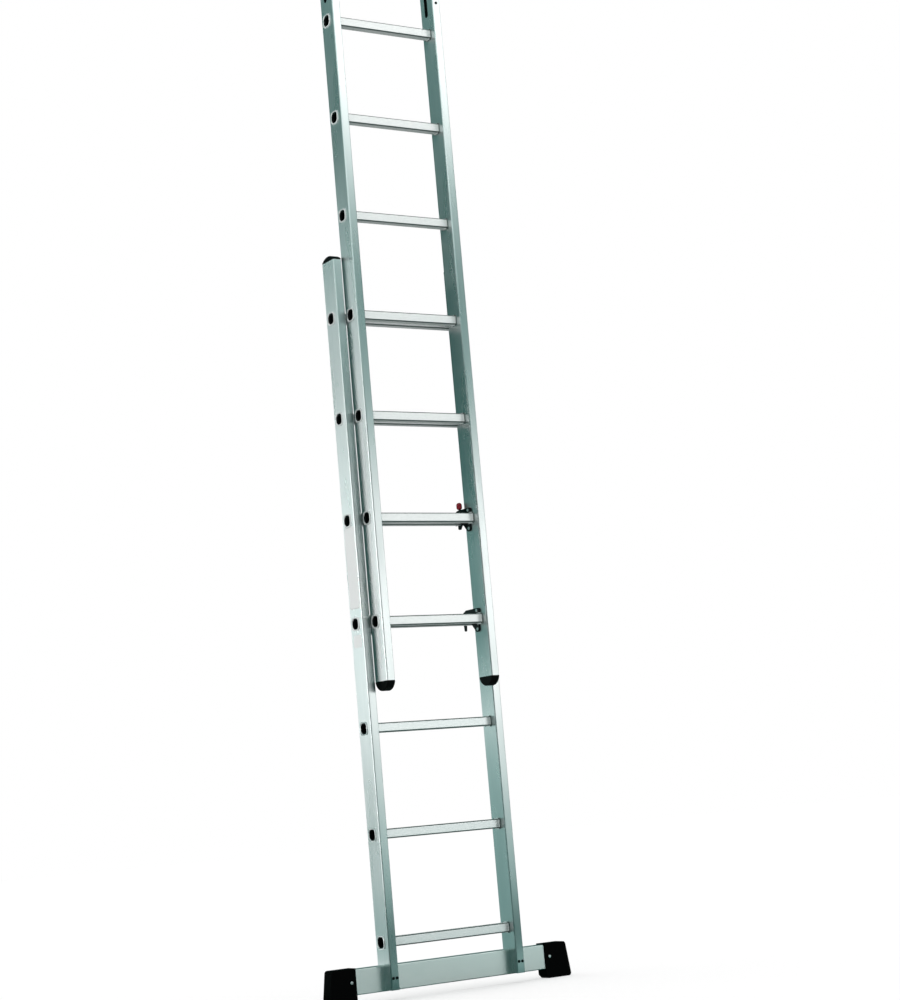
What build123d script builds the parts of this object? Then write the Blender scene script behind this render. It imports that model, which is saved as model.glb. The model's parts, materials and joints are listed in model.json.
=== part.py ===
"""Two-section push-up extension ladder with seven rungs in each section, drawn three rungs raised.

The ladder stands upright: X runs across it (right is +X), Y runs from the climbing side (-Y) to the
wall side (+Y), and Z runs up the stiles from the soles of the bar feet. The base section carries the
stabiliser bar. The fly section hangs in front of it, nested between its stiles, on four steel hooks.
"""
from build123d import *
from math import atan2, degrees, hypot
import os

# ---------------------------------------------------------------- driving dimensions (mm, degrees)
RUNG_COUNT = 7                 # rungs in each section
RUNG_PITCH = 280.0             # from one rung to the next
RAISED_RUNGS = 3               # how many rungs the fly stands raised

STILE_WIDTH = 25.0             # stile extrusion, across the ladder
STILE_DEPTH = 65.0             # stile extrusion, front to back
STILE_WALL = 2.0
STILE_EDGE = 3.5               # outer corner radius of the extrusion
STILE_BORE_EDGE = 1.0          # inner corner radius of the extrusion
BASE_WIDTH = 420.0             # over the outer faces of the base stiles
SIDE_CLEARANCE = 7.0           # between a fly stile and the base stile beside it
NEST_DEPTH = 14.0              # how far the fly stiles reach in behind the base's front faces
FIRST_RUNG_RISE = 123.0        # lower end of the base stile to its first rung
END_STUB = 160.0               # stile beyond the last rung, at every other stile end

RUNG_SIZE = 26.0               # square rung tube
RUNG_EDGE = 4.0
RUNG_WALL = 2.0
RUNG_SETBACK = 3.0             # rung axis behind the middle of the stile's depth
RUNG_FIT = 0.1                 # play round the rung in the stile's hole
RIB_COUNT = 4                  # anti-slip grooves on each face of the rung
RIB_SPACING = 4.4
GROOVE_WIDTH = 1.8
GROOVE_DEPTH = 0.5
FLARE_SIZE = 36.0              # swaged rung end outside the stile
FLARE_EDGE = 9.0
FLARE_MOUTH = 30.0             # opening of the swaged end
FLARE_PROUD = 2.5
COLLAR_SIZE = 31.0             # bead of the rung against the stile's inner face
COLLAR_EDGE = 6.0
COLLAR_LENGTH = 3.0

CAP_RIM = 3.0                  # straight rim of an end cap
TOP_CAP_CROWN = 12.0           # rise of a top cap's arched crown above the rim
BOTTOM_CAP_CROWN = 23.0        # the same of the caps at the fly's lower end
CAP_EDGE = 2.5                 # rounding of the crown's side edges
CAP_TONGUE = 22.0              # plug of the cap inside the stile
INSERT_FIT = 0.2               # play round a plastic plug in its extrusion

SOLE_DROP = 25.0               # underside of the bar above the soles
BAR_HEIGHT = 66.0
BAR_SETBACK = 31.0             # front of the bar behind the front of the base stiles
BAR_WALL = 2.0
BAR_EDGE = 2.5
BAR_BORE_EDGE = 0.8
BAR_LENGTH = 720.0
BAR_BELOW_STILE = 2.0          # underside of the bar below the stile ends

BOOT_PLATE = 3.0               # wall of the foot over the bar
BOOT_COVER = 63.0              # length of bar that a foot covers
BOOT_END_WALL = 8.0            # rubber beyond the bar's end, at the top of the foot
BOOT_SLANT = 13.0              # how much wider the foot is at its sole
BOOT_CORNER = 8.0
BOOT_CHAMFER = 9.0
BOOT_EDGE = 1.5
BOOT_FIT = 0.2                 # play between the foot and the bar
TREAD_COUNT = 5
TREAD_WIDTH = 4.0
TREAD_DEPTH = 3.0

BOLT_SHANK = 5.0               # bolts through stile and bar
BOLT_HEAD = 8.0
BOLT_HEAD_HEIGHT = 2.0
BOLT_SPACING = 11.0            # the two bolts of one stile, side by side
BOLT_GRIP = 9.0                # bolt beyond the bar's front face
NUT_SIZE = 8.0                 # across flats
NUT_HEIGHT = 4.0
SCREW_SHANK = 4.0              # foot screws and liner screws
SCREW_HEAD = 8.5
SCREW_HEAD_HEIGHT = 1.8
SCREW_BITE = 12.0              # screw beyond its head
FOOT_SCREW_INSET = 15.0        # screw from the foot's inner edge
HOLE_FIT = 0.05                # radial play of a fastener in its hole
NUT_FIT = 0.05                 # radial play of a nut on its bolt
CROSS_LENGTH = 4.6             # cross recess of a screw head
CROSS_WIDTH = 1.0
CROSS_DEPTH = 0.9

HOOK_PLATE = 4.0               # thickness of a hook plate
HOOK_SEAT = 0.3                # play between the hook and the base rung's top
HOOK_SIDE_FIT = 1.0            # play between the hook and the base rung's front and back
HOOK_FINGER = 14.0             # width of the finger behind the base rung
HOOK_TAPER = 3.5               # how much the finger narrows on each side
HOOK_ARM = 16.0                # height of the arm above the base rung
HOOK_SLOPE = 8.0               # fall of the arm's back end
HOOK_SLOPE_START = 4.0         # where it starts, in front of the base rung's back
HOOK_NOSE = 8.0                # front of the upper ear before the fly rung's axis
HOOK_EAR = 8.0                 # radius of the two ears round the rivets
HOOK_COLLAR_FIT = 1.0          # play round the fly rung's collar
HOOK_FILLET = 4.0
HOOK_TIP_FILLET = 2.8
HOOKED_RUNGS = (1, 2)          # fly rungs that carry hooks, the last one with the safety latches
HOOK_REACHES = (28.0, 12.0)    # finger tip below the rung's axis, on each of them
RIVET_SHANK = 5.0
RIVET_HEAD = 9.0
RIVET_HEAD_HEIGHT = 2.2
RIVET_TAIL = 3.0               # rivet beyond the stile's wall
RIVET_FRONT_INSET = 19.5       # upper rivet behind the fly rung's front face
RIVET_RISE = 23.0              # upper rivet above the rung's axis
RIVET_DROP = 28.0              # lower rivet below the rung's axis
LOWER_RIVET_BACK = 2.0         # lower rivet behind the upper one

LATCH_PLATE = 4.0
LATCH_GAP = 6.0                # space between hook plate and latch, for the spring
LATCH_WIDTH = 12.0
LATCH_TOE_REACH = 9.0          # how far the toe reaches under the base rung
LATCH_TOE_CLEARANCE = 2.0      # between toe and rung
LATCH_TOE_HEIGHT = 12.0
LATCH_TOE_WIDTH = 10.0
LATCH_TOP = 29.0               # shoulder of the latch above the rung's axis
LATCH_LEAN = 10.5              # knob axis behind the pivot
PIVOT_SHANK = 6.0
PIVOT_HEAD = 10.0
PIVOT_HEAD_HEIGHT = 2.0
PIVOT_FIT = 0.05               # radial play of the pivot pin
LATCH_SIDE_FIT = 0.3           # play of the latch along its pin
KNOB_SIZE = 15.5
KNOB_HEIGHT = 19.0
KNOB_TOP_EDGE = 7.0
KNOB_LOW_EDGE = 4.5
TANG_WIDTH = 6.0               # tang of the latch inside the knob
TANG_LENGTH = 12.0
TANG_FIT = 0.05
SPRING_WIRE = 1.1
SPRING_RADIUS = 4.4            # to the middle of the wire
SPRING_PITCH = 1.3
SPRING_TURNS = 2.3

SLOT_WIDTH = 16.0              # slot through both walls at the fly's top
SLOT_LENGTH = 66.0
SLOT_RISE = 86.0               # middle of the slot above the top rung
LINER_MARGIN = 8.0             # liner block beyond the slot, above and below
LINER_RECESS = 3.0             # depth of the pocket in each side of the liner
LINER_RIM = 2.0                # plastic round that pocket

# ---------------------------------------------------------------- places worked out from them
stile_front = (STILE_DEPTH - NEST_DEPTH + SCREW_HEAD_HEIGHT - STILE_DEPTH - BOOT_PLATE) / 2
base_y = stile_front + STILE_DEPTH / 2                 # middle of the base stiles' depth
fly_y = base_y - STILE_DEPTH + NEST_DEPTH
base_rung_y = base_y + RUNG_SETBACK
fly_rung_y = fly_y + RUNG_SETBACK

base_outer = BASE_WIDTH / 2
base_inner = base_outer - STILE_WIDTH
fly_outer = base_inner - SIDE_CLEARANCE
fly_inner = fly_outer - STILE_WIDTH

bar_low = SOLE_DROP
bar_top = bar_low + BAR_HEIGHT
bar_mid = (bar_low + bar_top) / 2
bar_front = stile_front + BAR_SETBACK
bar_back = stile_front + STILE_DEPTH
bar_depth = bar_back - bar_front
bar_y = (bar_front + bar_back) / 2

base_low = bar_low + BAR_BELOW_STILE
base_first_rung = base_low + FIRST_RUNG_RISE
section_rise = (RUNG_COUNT - 1) * RUNG_PITCH
base_high = base_first_rung + section_rise + END_STUB
fly_first_rung = base_first_rung + RAISED_RUNGS * RUNG_PITCH
fly_low = fly_first_rung - END_STUB
fly_high = fly_first_rung + section_rise + END_STUB
slot_z = fly_first_rung + section_rise + SLOT_RISE

rung_half = RUNG_SIZE / 2
latch_x = fly_inner - HOOK_PLATE - LATCH_GAP - LATCH_PLATE / 2
pivot_y = (fly_rung_y + base_rung_y) / 2
screw_x = BAR_LENGTH / 2 - BOOT_COVER + FOOT_SCREW_INSET


def rung_height(first, number):
    """Height of a section's rung, counted from 1 at the bottom."""
    return first + (number - 1) * RUNG_PITCH


latched_rung_z = rung_height(fly_first_rung, HOOKED_RUNGS[-1])


def tube_x(half_length, size_y, size_z, radius):
    """Rounded bar along X, centred on the origin."""
    return extrude(Plane.YZ * RectangleRounded(size_y, size_z, radius), half_length, both=True)


def plate_x(outline, x, thickness):
    """Flat plate across X, centred on x, cut to an outline of Y and Z."""
    return extrude(Plane.YZ.offset(x) * outline, thickness / 2, both=True)


def column_z(x, y, z_low, z_high, size_x, size_y, radius):
    """Rounded bar along Z between two heights."""
    return extrude(Pos(x, y, z_low) * RectangleRounded(size_x, size_y, radius), z_high - z_low)


def rod_x(x_from, x_to, y, z, diameter):
    """Round rod along X."""
    return Pos((x_from + x_to) / 2, y, z) * Rot(0, 90, 0) * Cylinder(diameter / 2, abs(x_to - x_from))


def rod_y(x, y_from, y_to, z, diameter):
    """Round rod along Y."""
    return Pos(x, (y_from + y_to) / 2, z) * Rot(90, 0, 0) * Cylinder(diameter / 2, abs(y_to - y_from))


def left_of(shape):
    """Mirror image of a right-hand piece."""
    return mirror(shape, about=Plane.YZ)


def cross_headed(x, y_face, z, shank, head, head_height, length):
    """Pan-head screw driven along +Y, seated on the face at y_face."""
    cap = rod_y(x, y_face - head_height, y_face, z, head)
    cap = fillet(cap.edges().filter_by(GeomType.CIRCLE).sort_by(Axis.Y)[0], head_height * 0.6)
    screw = cap + rod_y(x, y_face, y_face + length, z, shank)
    recess = Pos(x, y_face - head_height, z) * (
        Box(CROSS_LENGTH, 2 * CROSS_DEPTH, CROSS_WIDTH) + Box(CROSS_WIDTH, 2 * CROSS_DEPTH, CROSS_LENGTH))
    return screw - recess


# ---------------------------------------------------------------- stiles
def stile(x, y, z_low, z_high, first_rung):
    """Hollow stile extrusion with its punched rung holes."""
    body = column_z(x, y, z_low, z_high, STILE_WIDTH, STILE_DEPTH, STILE_EDGE)
    body -= column_z(x, y, z_low, z_high, STILE_WIDTH - 2 * STILE_WALL,
                     STILE_DEPTH - 2 * STILE_WALL, STILE_BORE_EDGE)
    hole_size = RUNG_SIZE + 2 * RUNG_FIT
    hole = tube_x(STILE_WIDTH, hole_size, hole_size, RUNG_EDGE)
    for number in range(1, RUNG_COUNT + 1):
        body -= Pos(x, y + RUNG_SETBACK, rung_height(first_rung, number)) * hole
    return body


def bolt_places():
    """X of the two bar bolts of the right base stile."""
    middle = base_outer - STILE_WIDTH / 2
    return (middle - BOLT_SPACING / 2, middle + BOLT_SPACING / 2)


def base_stile():
    """Right base stile, cut away behind for the stabiliser bar."""
    x = base_outer - STILE_WIDTH / 2
    body = stile(x, base_y, base_low, base_high, base_first_rung)
    notch = Box(2 * STILE_WIDTH, bar_depth, bar_top - base_low,
                align=(Align.CENTER, Align.MIN, Align.MIN))
    body -= Pos(x, bar_front, base_low) * notch
    for bolt_x in bolt_places():
        body -= rod_y(bolt_x, stile_front - STILE_WALL, stile_front + 2 * STILE_WALL, bar_mid,
                      BOLT_SHANK + 2 * HOLE_FIT)
    return body


def hook_rivet_places():
    """Y offset and Z offset of the two rivets of a hook, from the fly rung's axis."""
    upper = -rung_half + RIVET_FRONT_INSET
    return ((upper, RIVET_RISE), (upper + LOWER_RIVET_BACK, -RIVET_DROP))


def fly_stile():
    """Right fly stile with its top slot, its liner screw hole and the rivet holes of its hooks."""
    x = fly_outer - STILE_WIDTH / 2
    front = fly_y - STILE_DEPTH / 2
    body = stile(x, fly_y, fly_low, fly_high, fly_first_rung)
    slot = extrude(Plane.YZ * SlotOverall(SLOT_LENGTH, SLOT_WIDTH, rotation=90), STILE_WIDTH, both=True)
    body -= Pos(x, fly_rung_y, slot_z) * slot
    body -= rod_y(x, front - STILE_WALL, front + 2 * STILE_WALL, slot_z, SCREW_SHANK + 2 * HOLE_FIT)
    for number in HOOKED_RUNGS:
        for dy, dz in hook_rivet_places():
            body -= rod_x(fly_inner - STILE_WALL, fly_inner + 2 * STILE_WALL, fly_rung_y + dy,
                          rung_height(fly_first_rung, number) + dz, RIVET_SHANK + 2 * HOLE_FIT)
    return body


# ---------------------------------------------------------------- rungs
def rung(outer, inner):
    """Ribbed square rung, swaged over the stiles' outer faces and beaded against their inner faces."""
    half_length = outer + FLARE_PROUD
    body = tube_x(half_length, RUNG_SIZE, RUNG_SIZE, RUNG_EDGE)
    groove = Box(2 * (inner - COLLAR_LENGTH), GROOVE_WIDTH, 2 * GROOVE_DEPTH)
    for side in range(4):
        for number in range(RIB_COUNT):
            across = (number - (RIB_COUNT - 1) / 2) * RIB_SPACING
            body -= Rot(90 * side, 0, 0) * Pos(0, across, rung_half) * groove
    collar = Pos(inner - COLLAR_LENGTH / 2, 0, 0) * tube_x(COLLAR_LENGTH / 2, COLLAR_SIZE, COLLAR_SIZE,
                                                           COLLAR_EDGE)
    flare = Pos(outer + FLARE_PROUD / 2, 0, 0) * tube_x(FLARE_PROUD / 2, FLARE_SIZE, FLARE_SIZE,
                                                        FLARE_EDGE)
    body += collar + flare + left_of(collar) + left_of(flare)

    bore = RUNG_SIZE - 2 * RUNG_WALL
    body -= tube_x(half_length, bore, bore, RUNG_EDGE - RUNG_WALL)
    mouth_step = (FLARE_MOUTH - bore) / 2
    mouth_depth = FLARE_PROUD + RUNG_WALL / 2
    mouth_plane = Plane(origin=(half_length, 0, 0), x_dir=(0, 1, 0), z_dir=(-1, 0, 0))
    mouth = extrude(mouth_plane * RectangleRounded(FLARE_MOUTH, FLARE_MOUTH, RUNG_EDGE - RUNG_WALL + mouth_step),
                    mouth_depth, taper=degrees(atan2(mouth_step, mouth_depth)))
    return body - mouth - left_of(mouth)


# ---------------------------------------------------------------- end caps
def end_cap(crown):
    """Arched stile cap at the origin: crown upwards, tongue down inside the extrusion."""
    half = STILE_DEPTH / 2
    outline = Polyline((-half, CAP_RIM), (-half, 0), (half, 0), (half, CAP_RIM))
    arch = ThreePointArc((half, CAP_RIM), (0, CAP_RIM + crown), (-half, CAP_RIM))
    side = extrude(Plane.YZ * make_face([outline, arch]), STILE_WIDTH / 2, both=True)
    section = column_z(0, 0, 0, CAP_RIM + 2 * crown, STILE_WIDTH, STILE_DEPTH, STILE_EDGE)
    body = side & section
    crests = [edge for edge in body.edges().filter_by(GeomType.CIRCLE)
              if edge.center().Z > CAP_RIM + crown / 2]
    body = fillet(crests, CAP_EDGE)
    tongue = column_z(0, 0, -CAP_TONGUE, 0, STILE_WIDTH - 2 * STILE_WALL - 2 * INSERT_FIT,
                      STILE_DEPTH - 2 * STILE_WALL - 2 * INSERT_FIT, STILE_BORE_EDGE)
    hollow = column_z(0, 0, -CAP_TONGUE, -STILE_WALL, STILE_WIDTH - 4 * STILE_WALL,
                      STILE_DEPTH - 4 * STILE_WALL, STILE_BORE_EDGE)
    return body + tongue - hollow


# ---------------------------------------------------------------- stabiliser bar and its feet
def stabiliser_bar():
    """Rectangular tube across the foot of the base section."""
    body = tube_x(BAR_LENGTH / 2, bar_depth, BAR_HEIGHT, BAR_EDGE)
    body -= tube_x(BAR_LENGTH / 2, bar_depth - 2 * BAR_WALL, BAR_HEIGHT - 2 * BAR_WALL, BAR_BORE_EDGE)
    body = Pos(0, bar_y, bar_mid) * body
    for place in bolt_places():
        for x in (place, -place):
            body -= rod_y(x, bar_front - BAR_WALL, bar_front + 2 * BAR_WALL, bar_mid,
                          BOLT_SHANK + 2 * HOLE_FIT)
    for x in (screw_x, -screw_x):
        body -= rod_y(x, bar_front - BAR_WALL, bar_front + 2 * BAR_WALL, bar_mid,
                      SCREW_SHANK + 2 * HOLE_FIT)
    return body


def bar_foot():
    """Right rubber foot: a boot over the end of the bar with a treaded sole."""
    inner_x = BAR_LENGTH / 2 - BOOT_COVER
    top_x = BAR_LENGTH / 2 + BOOT_END_WALL
    sole_x = top_x + BOOT_SLANT
    top = bar_top + BOOT_PLATE
    depth = bar_depth + 2 * BOOT_PLATE
    front_plane = Plane(origin=(0, bar_back + BOOT_PLATE, 0), x_dir=(1, 0, 0), z_dir=(0, -1, 0))
    outline = Polygon((inner_x, BOOT_CHAMFER), (inner_x + BOOT_CHAMFER, 0), (sole_x, 0), (top_x, top),
                      (inner_x, top), align=None)
    body = extrude(front_plane * outline, depth)
    outer_corners = [edge for edge in body.edges().filter_by(Axis.Y) if edge.center().X > BAR_LENGTH / 2]
    body = fillet(outer_corners, BOOT_CORNER)
    body = fillet(body.faces().sort_by(Axis.Y)[0].edges(), BOOT_EDGE)
    body = fillet(body.faces().sort_by(Axis.Y)[-1].edges(), BOOT_EDGE)
    pocket = tube_x((BAR_LENGTH / 2 + BOOT_FIT) / 2, bar_depth + 2 * BOOT_FIT, BAR_HEIGHT + 2 * BOOT_FIT,
                    BAR_EDGE)
    body -= Pos((BAR_LENGTH / 2 + BOOT_FIT) / 2, bar_y, bar_mid) * pocket
    tread_run = sole_x - BOOT_CORNER - inner_x - BOOT_CHAMFER
    for number in range(TREAD_COUNT):
        x = inner_x + BOOT_CHAMFER + tread_run * (number + 0.5) / TREAD_COUNT
        body -= Pos(x, bar_y, 0) * Box(TREAD_WIDTH, 2 * depth, 2 * TREAD_DEPTH)
    body -= rod_y(screw_x, bar_front - 2 * BOOT_PLATE, bar_front, bar_mid, SCREW_SHANK + 2 * HOLE_FIT)
    return body


def bar_bolt(x):
    """Bolt from a base stile's front face into the bar."""
    return cross_headed(x, stile_front, bar_mid, BOLT_SHANK, BOLT_HEAD, BOLT_HEAD_HEIGHT,
                        BAR_SETBACK + BOLT_GRIP)


def bar_nut(x):
    """Nut of a bar bolt, inside the bar."""
    y = bar_front + BAR_WALL
    plane = Plane(origin=(x, y + NUT_HEIGHT, bar_mid), x_dir=(1, 0, 0), z_dir=(0, -1, 0))
    nut = extrude(plane * RegularPolygon(NUT_SIZE / 2, 6, major_radius=False), NUT_HEIGHT)
    return nut - rod_y(x, y - NUT_HEIGHT, y + 2 * NUT_HEIGHT, bar_mid, BOLT_SHANK + 2 * NUT_FIT)


# ---------------------------------------------------------------- hooks and safety latches
def edges_at(body, places):
    """Edges along X that stand at those places of Y and Z."""
    return [edge for edge in body.edges().filter_by(Axis.X)
            if any(hypot(edge.center().Y - y, edge.center().Z - z) < HOLE_FIT for y, z in places)]


def hook_plate(reach, with_pivot):
    """Right hook plate, drawn round the fly rung's axis at height 0 and seated on the base rung."""
    jaw_front = base_rung_y - rung_half - HOOK_SIDE_FIT
    jaw_back = base_rung_y + rung_half + HOOK_SIDE_FIT
    jaw_top = rung_half + HOOK_SEAT
    arm_top = jaw_top + HOOK_ARM
    arm_end = (jaw_back + HOOK_FINGER, arm_top - HOOK_SLOPE)
    slope_start = (jaw_back - HOOK_SLOPE_START, arm_top)
    tip_back = (jaw_back + HOOK_FINGER - HOOK_TAPER, -reach)
    tip_front = (jaw_back + HOOK_TAPER, -reach)
    gap = COLLAR_SIZE / 2 + HOOK_COLLAR_FIT
    throat = fly_rung_y + gap
    nose = (fly_rung_y - HOOK_NOSE, arm_top)
    lower_dy, lower_dz = hook_rivet_places()[1]
    foot_front = (fly_rung_y + lower_dy - HOOK_EAR, lower_dz - HOOK_EAR)
    foot_back = (fly_rung_y + lower_dy + HOOK_EAR, lower_dz - HOOK_EAR)
    outline = Polygon((nose[0], gap), nose, slope_start, arm_end, (arm_end[0], 0), tip_back, tip_front,
                      (jaw_back, 0), (jaw_back, jaw_top), (jaw_front, jaw_top), (jaw_front, -rung_half),
                      foot_back, foot_front, (foot_front[0], -gap), (throat, -gap), (throat, gap), align=None)
    body = plate_x(outline, fly_inner - HOOK_PLATE / 2, HOOK_PLATE)
    body = fillet(edges_at(body, [nose, foot_front, foot_back]), HOOK_EAR)
    body = fillet(edges_at(body, [slope_start, arm_end]), HOOK_FILLET)
    body = fillet(edges_at(body, [tip_back, tip_front]), HOOK_TIP_FILLET)
    for dy, dz in hook_rivet_places():
        body -= rod_x(fly_inner - 2 * HOOK_PLATE, fly_inner + HOOK_PLATE, fly_rung_y + dy, dz,
                      RIVET_SHANK + 2 * HOLE_FIT)
    if with_pivot:
        body -= rod_x(fly_inner - 2 * HOOK_PLATE, fly_inner + HOOK_PLATE, pivot_y, 0,
                      PIVOT_SHANK + 2 * PIVOT_FIT)
    return body


def hook_rivet(dy, height):
    """Domed rivet through hook plate and stile wall."""
    face = fly_inner - HOOK_PLATE
    head = rod_x(face - RIVET_HEAD_HEIGHT, face, fly_rung_y + dy, height, RIVET_HEAD)
    head = fillet(head.edges().filter_by(GeomType.CIRCLE).sort_by(Axis.X)[0], RIVET_HEAD_HEIGHT * 0.8)
    return head + rod_x(face, fly_inner + STILE_WALL + RIVET_TAIL, fly_rung_y + dy, height, RIVET_SHANK)


def hook_rivets():
    """All rivets of the four hooks."""
    rivets = []
    for number in HOOKED_RUNGS:
        for dy, dz in hook_rivet_places():
            rivet = hook_rivet(dy, rung_height(fly_first_rung, number) + dz)
            rivets += [rivet, left_of(rivet)]
    return rivets


def pivot_pin(height):
    """Shouldered pin that carries a safety latch on its hook plate."""
    latch_face = latch_x - LATCH_PLATE / 2
    head_face = latch_face - LATCH_SIDE_FIT
    head = rod_x(head_face - PIVOT_HEAD_HEIGHT, head_face, pivot_y, height, PIVOT_HEAD)
    head = fillet(head.edges().filter_by(GeomType.CIRCLE).sort_by(Axis.X)[0], PIVOT_HEAD_HEIGHT * 0.6)
    return head + rod_x(head_face, fly_inner, pivot_y, height, PIVOT_SHANK)


def latch_spring(height):
    """Torsion spring round the pivot pin, between hook plate and latch."""
    coil = Helix(SPRING_PITCH, SPRING_PITCH * SPRING_TURNS, SPRING_RADIUS)
    wire = sweep(Plane(origin=coil @ 0, z_dir=coil % 0) * Circle(SPRING_WIRE / 2), path=coil)
    start = fly_inner - HOOK_PLATE - (LATCH_GAP + SPRING_PITCH * SPRING_TURNS) / 2
    return Pos(start, pivot_y, height) * Rot(0, 90, 0) * wire


def safety_latch(height):
    """Right safety latch: a lever whose toe closes under the base rung."""
    front = pivot_y - LATCH_WIDTH / 2
    back = pivot_y + LATCH_WIDTH / 2
    toe_top = -rung_half - LATCH_TOE_CLEARANCE
    toe_low = toe_top - LATCH_TOE_HEIGHT
    toe_back = base_rung_y - rung_half + LATCH_TOE_REACH
    knob_y = pivot_y + LATCH_LEAN
    outline = Polygon((front, -rung_half / 2), (toe_back - LATCH_TOE_WIDTH, toe_low), (toe_back, toe_low),
                      (toe_back, toe_top), (back, toe_top), (back, rung_half),
                      (knob_y + TANG_WIDTH / 2, LATCH_TOP), (knob_y + TANG_WIDTH / 2, LATCH_TOP + TANG_LENGTH),
                      (knob_y - TANG_WIDTH / 2, LATCH_TOP + TANG_LENGTH), (knob_y - TANG_WIDTH / 2, LATCH_TOP),
                      (front, rung_half), align=None)
    body = plate_x(outline, latch_x, LATCH_PLATE)
    body = fillet(edges_at(body, [(toe_back, toe_low)]), HOOK_FILLET)
    body -= rod_x(latch_x - LATCH_PLATE, latch_x + LATCH_PLATE, pivot_y, 0, PIVOT_SHANK + 2 * PIVOT_FIT)
    return Pos(0, 0, height) * body


def latch_knob(height):
    """Red push knob on the latch's tang."""
    body = Pos(0, 0, KNOB_HEIGHT / 2) * Cylinder(KNOB_SIZE / 2, KNOB_HEIGHT)
    body = fillet(body.edges().sort_by(Axis.Z)[-1], KNOB_TOP_EDGE)
    body = fillet(body.edges().sort_by(Axis.Z)[0], KNOB_LOW_EDGE)
    socket = Box(LATCH_PLATE + 2 * TANG_FIT, TANG_WIDTH + 2 * TANG_FIT, TANG_LENGTH + TANG_FIT,
                 align=(Align.CENTER, Align.CENTER, Align.MIN))
    return Pos(latch_x, pivot_y + LATCH_LEAN, height + LATCH_TOP) * (body - socket)


# ---------------------------------------------------------------- slot liners at the fly's top
def slot_liner():
    """Right plastic liner: a block inside the stile that fills the slot and leaves a pocket each side."""
    x = fly_outer - STILE_WIDTH / 2
    bore_width = STILE_WIDTH - 2 * STILE_WALL - 2 * INSERT_FIT
    bore_depth = STILE_DEPTH - 2 * STILE_WALL - 2 * INSERT_FIT
    half = SLOT_LENGTH / 2 + LINER_MARGIN
    body = column_z(x, fly_y, slot_z - half, slot_z + half, bore_width, bore_depth, STILE_BORE_EDGE)
    boss = SlotOverall(SLOT_LENGTH - 2 * INSERT_FIT, SLOT_WIDTH - 2 * INSERT_FIT, rotation=90)
    body += Pos(x, fly_rung_y, slot_z) * extrude(Plane.YZ * boss, STILE_WIDTH / 2, both=True)
    pocket = SlotOverall(SLOT_LENGTH - 2 * LINER_RIM, SLOT_WIDTH - 2 * LINER_RIM, rotation=90)
    cut = Pos(STILE_WIDTH / 2 - LINER_RECESS, 0, 0) * extrude(Plane.YZ * pocket, LINER_RECESS)
    body -= Pos(x, fly_rung_y, slot_z) * (cut + left_of(cut))
    front = fly_y - STILE_DEPTH / 2
    pilot = SCREW_SHANK + 2 * HOLE_FIT
    return body - rod_y(x, front, front + SCREW_BITE + HOLE_FIT, slot_z, pilot)


def liner_screw():
    """Right screw that holds the liner from the stile's front face."""
    x = fly_outer - STILE_WIDTH / 2
    return cross_headed(x, fly_y - STILE_DEPTH / 2, slot_z, SCREW_SHANK, SCREW_HEAD, SCREW_HEAD_HEIGHT,
                        SCREW_BITE)


# ---------------------------------------------------------------- assembly
def pair(name, shape):
    """A right-hand piece and its mirror image, as two nodes."""
    return {name + "_right": shape, name + "_left": left_of(shape)}


def group(shapes):
    """Identical fasteners as separate solids of one node."""
    return Compound(children=shapes)


def base_section():
    """Everything that stands on the ground."""
    nodes = pair("base_stile", base_stile())
    base_rung = rung(base_outer, base_inner)
    for number in range(1, RUNG_COUNT + 1):
        nodes[f"base_rung_{number}"] = Pos(0, base_rung_y, rung_height(base_first_rung, number)) * base_rung
    nodes |= pair("base_top_cap", Pos(base_outer - STILE_WIDTH / 2, base_y, base_high) * end_cap(TOP_CAP_CROWN))
    nodes["stabiliser_bar"] = stabiliser_bar()
    nodes |= pair("bar_foot", bar_foot())
    bolts = [bar_bolt(x) for place in bolt_places() for x in (place, -place)]
    nuts = [bar_nut(x) for place in bolt_places() for x in (place, -place)]
    foot_screw = cross_headed(screw_x, bar_front - BOOT_PLATE, bar_mid, SCREW_SHANK, SCREW_HEAD,
                              SCREW_HEAD_HEIGHT, SCREW_BITE)
    nodes["bar_bolts"] = group(bolts)
    nodes["bar_nuts"] = group(nuts)
    nodes["foot_screws"] = group([foot_screw, left_of(foot_screw)])
    return nodes


def fly_section():
    """Everything that is raised with the fly."""
    nodes = pair("fly_stile", fly_stile())
    fly_rung = rung(fly_outer, fly_inner)
    for number in range(1, RUNG_COUNT + 1):
        nodes[f"fly_rung_{number}"] = Pos(0, fly_rung_y, rung_height(fly_first_rung, number)) * fly_rung
    cap_x = fly_outer - STILE_WIDTH / 2
    nodes |= pair("fly_top_cap", Pos(cap_x, fly_y, fly_high) * end_cap(TOP_CAP_CROWN))
    bottom_cap = Rot(180, 0, 0) * end_cap(BOTTOM_CAP_CROWN)
    nodes |= pair("fly_bottom_cap", Pos(cap_x, fly_y, fly_low) * bottom_cap)
    for number, reach in zip(HOOKED_RUNGS, HOOK_REACHES):
        plate = Pos(0, 0, rung_height(fly_first_rung, number)) * hook_plate(reach, number == HOOKED_RUNGS[-1])
        nodes |= pair(f"rung_{number}_hook", plate)
    nodes["hook_rivets"] = group(hook_rivets())
    pin = pivot_pin(latched_rung_z)
    nodes["latch_pivots"] = group([pin, left_of(pin)])
    nodes |= pair("latch_spring", latch_spring(latched_rung_z))
    nodes |= pair("slot_liner", slot_liner())
    screw = liner_screw()
    nodes["liner_screws"] = group([screw, left_of(screw)])
    return nodes


def latches():
    """The two hinged safety latches of the upper hooks."""
    return pair("safety_latch", safety_latch(latched_rung_z)) | pair("latch_knob", latch_knob(latched_rung_z))


os.makedirs("parts", exist_ok=True)
for node, shape in (base_section() | fly_section() | latches()).items():
    export_step(shape, f"parts/{node}.step")
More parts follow.
